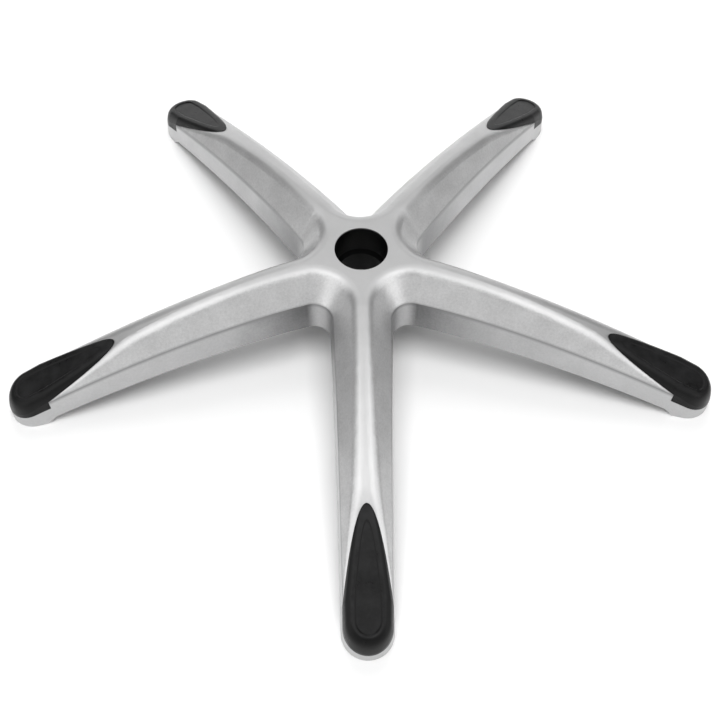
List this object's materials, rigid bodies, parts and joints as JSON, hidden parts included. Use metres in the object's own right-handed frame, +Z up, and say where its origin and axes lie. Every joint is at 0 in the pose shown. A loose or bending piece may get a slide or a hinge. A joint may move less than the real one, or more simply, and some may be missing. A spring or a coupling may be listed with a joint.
{
  "type": "chair base",
  "caption": "Star-shaped cast aluminium swivel chair base with arched, tapering hollow arms, black teardrop tip caps, caster stem sockets and a sleeved column socket in the hub.",
  "frame": {"origin": "on the column axis at floor level, the centre of the circle that the caster sockets lie on", "axes": "+Z up along the column axis; one arm, the front one, points to -Y"},
  "size_m": [0.683, 0.6518, 0.11],
  "materials": {
    "casting": "satin, as cast and blasted",
    "cap": "fine-textured black moulding",
    "sleeve": "smooth black moulding"
  },
  "bodies": {
    "root": {"star_base": "casting", "cylinder_sleeve": "sleeve", "tip_cap_front": "cap", "tip_cap_front_right": "cap", "tip_cap_back_right": "cap", "tip_cap_back_left": "cap", "tip_cap_front_left": "cap"}
  },
  "joints": []
}
